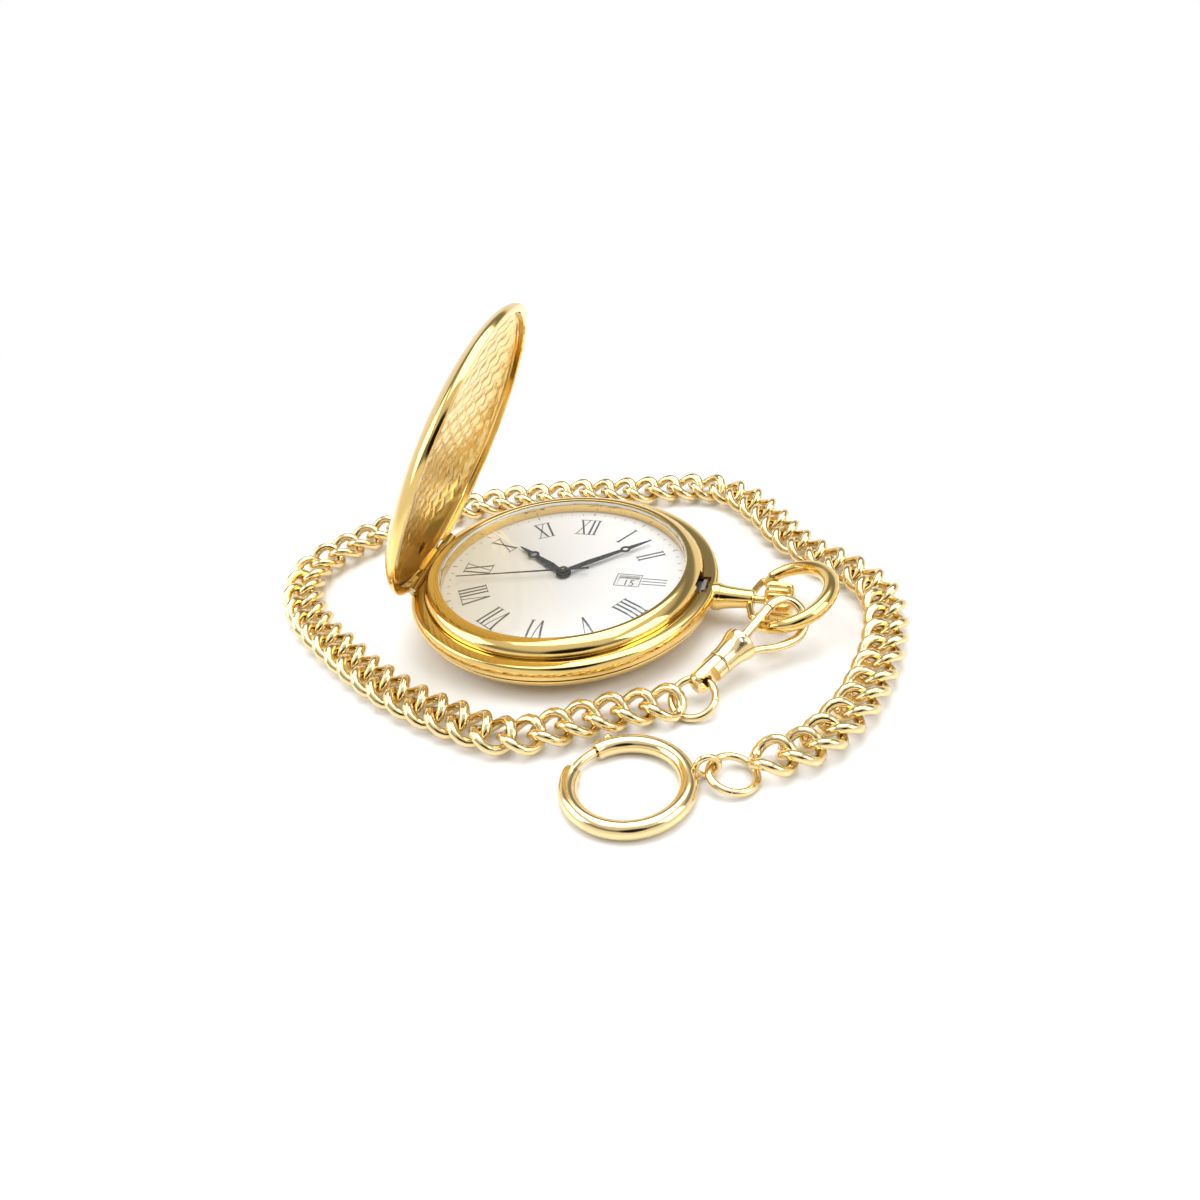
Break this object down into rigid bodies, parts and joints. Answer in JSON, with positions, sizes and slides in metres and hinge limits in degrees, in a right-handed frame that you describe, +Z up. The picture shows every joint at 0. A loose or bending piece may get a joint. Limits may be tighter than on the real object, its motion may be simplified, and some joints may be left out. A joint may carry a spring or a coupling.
{
  "type": "pocket watch",
  "caption": "Full-hunter pocket watch with a spring-opened lid, Roman dial and date window, fluted push crown, ring bow, and a curb chain with a swivel clip and a bolt ring.",
  "frame": {"origin": "the middle of the flat on the case back, where the watch lies on the table", "axes": "+X from the middle of the case out through the crown, +Y towards the twelve, +Z up through the dial"},
  "size_m": [0.1008, 0.0869, 0.0477],
  "materials": {
    "case_gold": "polished yellow gold plate on brass",
    "chain_gold": "polished pale gold plate on brass",
    "steel": "fine-ground spring and tool steel",
    "brass": "plain machined brass",
    "nylon": "white moulded nylon",
    "crystal_glass": "clear polished mineral glass",
    "rubber": "black nitrile rubber",
    "dial_white": "satin white lacquer on brass",
    "hands_dark": "dark grey lacquer",
    "copper_wire": "lacquered copper wire",
    "board": "green solder mask on glass fibre"
  },
  "bodies": {
    "case": {"back_seal": "rubber", "battery": "steel", "battery_clip": "steel", "bezel": "case_gold", "bolt_jump_ring": "chain_gold", "bolt_ring_tube": "chain_gold", "bolt_spring": "steel", "case_back": "case_gold", "case_band": "case_gold", "chain_run_1": "chain_gold", "chain_run_2": "chain_gold", "chain_run_3": "chain_gold", "chain_run_4": "chain_gold", "circuit_board": "board", "clip_body": "chain_gold", "clip_jump_ring": "chain_gold", "coil": "copper_wire", "crystal": "crystal_glass", "crystal_seal": "nylon", "dial": "dial_white", "gate_pin": "steel", "gate_spring": "steel", "hinge_pin": "steel", "lid_spring": "steel", "lock_spring": "steel", "main_plate": "brass", "movement_spacer": "nylon", "pendant": "case_gold", "quartz_crystal": "steel", "stator": "steel", "train_bridge": "brass"},
    "lid": {"lid_shell": "case_gold", "lid_liner": "case_gold"},
    "latch": {"catch_latch": "steel"},
    "setting_slide": {"setting_lever": "steel"},
    "stem": {"winding_stem": "steel"},
    "crown": {"crown": "case_gold"},
    "pinion": {"sliding_pinion": "steel"},
    "seconds": {"second_hand": "hands_dark", "seconds_wheel": "brass"},
    "minutes": {"minute_hand": "hands_dark", "centre_wheel": "brass"},
    "hours": {"hour_hand": "hands_dark", "hour_wheel": "brass"},
    "third": {"third_wheel": "brass"},
    "minute_gear": {"minute_wheel": "brass"},
    "date": {"date_ring": "nylon"},
    "intermediate": {"intermediate_wheel": "nylon"},
    "motor_rotor": {"rotor": "steel"},
    "bow": {"bow": "case_gold"},
    "gate": {"clip_gate": "chain_gold"},
    "swivel": {"clip_swivel": "chain_gold"},
    "slider": {"bolt_slider": "chain_gold"}
  },
  "joints": [
    {"name": "lid_hinge", "type": "hinge", "parent": "case", "child": "lid", "pos_m": [-0.0221, 0, 0.0061], "axis": [0, -1, 0], "range_deg": [-66, 0], "stiffness_Nm_per_rad": 0.002, "springref_deg": 57.3},
    {"name": "stem_pull", "type": "slide", "parent": "case", "child": "setting_slide", "axis": [1, 0, 0], "range_m": [0, 0.0012]},
    {"name": "crown_turn", "type": "hinge", "parent": "setting_slide", "child": "stem", "pos_m": [0.0312, 0, 0.00405], "axis": [1, 0, 0], "continuous": true},
    {"name": "crown_push", "type": "slide", "parent": "stem", "child": "crown", "axis": [1, 0, 0], "range_m": [-0.0006, 0], "stiffness_N_per_m": 3000, "springref_m": 0.0003},
    {"name": "catch_slide", "type": "slide", "parent": "case", "child": "latch", "axis": [1, 0, 0], "range_m": [-0.0006, 0]},
    {"name": "pinion_spin", "type": "hinge", "parent": "case", "child": "pinion", "pos_m": [0.009, 0, 0.00405], "axis": [1, 0, 0], "continuous": true},
    {"name": "second_spin", "type": "hinge", "parent": "case", "child": "seconds", "pos_m": [0, 0, 0.0055], "axis": [0, 0, -1], "continuous": true},
    {"name": "minute_spin", "type": "hinge", "parent": "case", "child": "minutes", "pos_m": [0, 0, 0.0055], "axis": [0, 0, -1], "continuous": true},
    {"name": "hour_spin", "type": "hinge", "parent": "case", "child": "hours", "pos_m": [0, 0, 0.0055], "axis": [0, 0, -1], "continuous": true},
    {"name": "third_spin", "type": "hinge", "parent": "case", "child": "third", "pos_m": [-0.0022, 0.0022, 0.003], "axis": [0, 0, -1], "continuous": true},
    {"name": "minute_gear_spin", "type": "hinge", "parent": "case", "child": "minute_gear", "pos_m": [0, 0.0053, 0.0049], "axis": [0, 0, -1], "continuous": true},
    {"name": "date_turn", "type": "hinge", "parent": "case", "child": "date", "pos_m": [0, 0, 0.0049], "axis": [0, 0, -1], "continuous": true},
    {"name": "intermediate_spin", "type": "hinge", "parent": "case", "child": "intermediate", "pos_m": [0.0029, -0.0027, 0.0023], "axis": [0, 0, -1], "continuous": true},
    {"name": "rotor_spin", "type": "hinge", "parent": "case", "child": "motor_rotor", "pos_m": [0.0061, -0.0052, 0.0025], "axis": [0, 0, -1], "continuous": true},
    {"name": "bow_swing", "type": "hinge", "parent": "case", "child": "bow", "pos_m": [0.0315, 0, 0.00405], "axis": [0, -1, 0], "range_deg": [-2, 15]},
    {"name": "gate_open", "type": "hinge", "parent": "case", "child": "gate", "pos_m": [0.02911, -0.01239, 0.0047], "axis": [0.3991, -0.4436, 0.8024], "range_deg": [-4, 0], "stiffness_Nm_per_rad": 0.01, "springref_deg": 5.73},
    {"name": "swivel_turn", "type": "hinge", "parent": "case", "child": "swivel", "pos_m": [0.02443, -0.02018, 0.00272], "axis": [0.5191, 0.8307, 0.2011], "range_deg": [-12, 12]},
    {"name": "bolt_slide", "type": "hinge", "parent": "case", "child": "slider", "pos_m": [0.0197, -0.0387, 0.0013], "axis": [0, 0, -1], "range_deg": [0, 36], "stiffness_Nm_per_rad": 0.012, "springref_deg": -11.46}
  ],
  "couplings": [
    {"joint": "catch_slide", "follows": "crown_push", "ratio": 1},
    {"joint": "pinion_spin", "follows": "crown_turn", "ratio": 1},
    {"joint": "minute_spin", "follows": "second_spin", "ratio": 0.016667},
    {"joint": "hour_spin", "follows": "second_spin", "ratio": 0.0013889},
    {"joint": "third_spin", "follows": "second_spin", "ratio": -0.13333},
    {"joint": "minute_gear_spin", "follows": "second_spin", "ratio": -0.0055556},
    {"joint": "date_turn", "follows": "second_spin", "ratio": 0.000022401},
    {"joint": "intermediate_spin", "follows": "second_spin", "ratio": -6},
    {"joint": "rotor_spin", "follows": "second_spin", "ratio": 30}
  ]
}
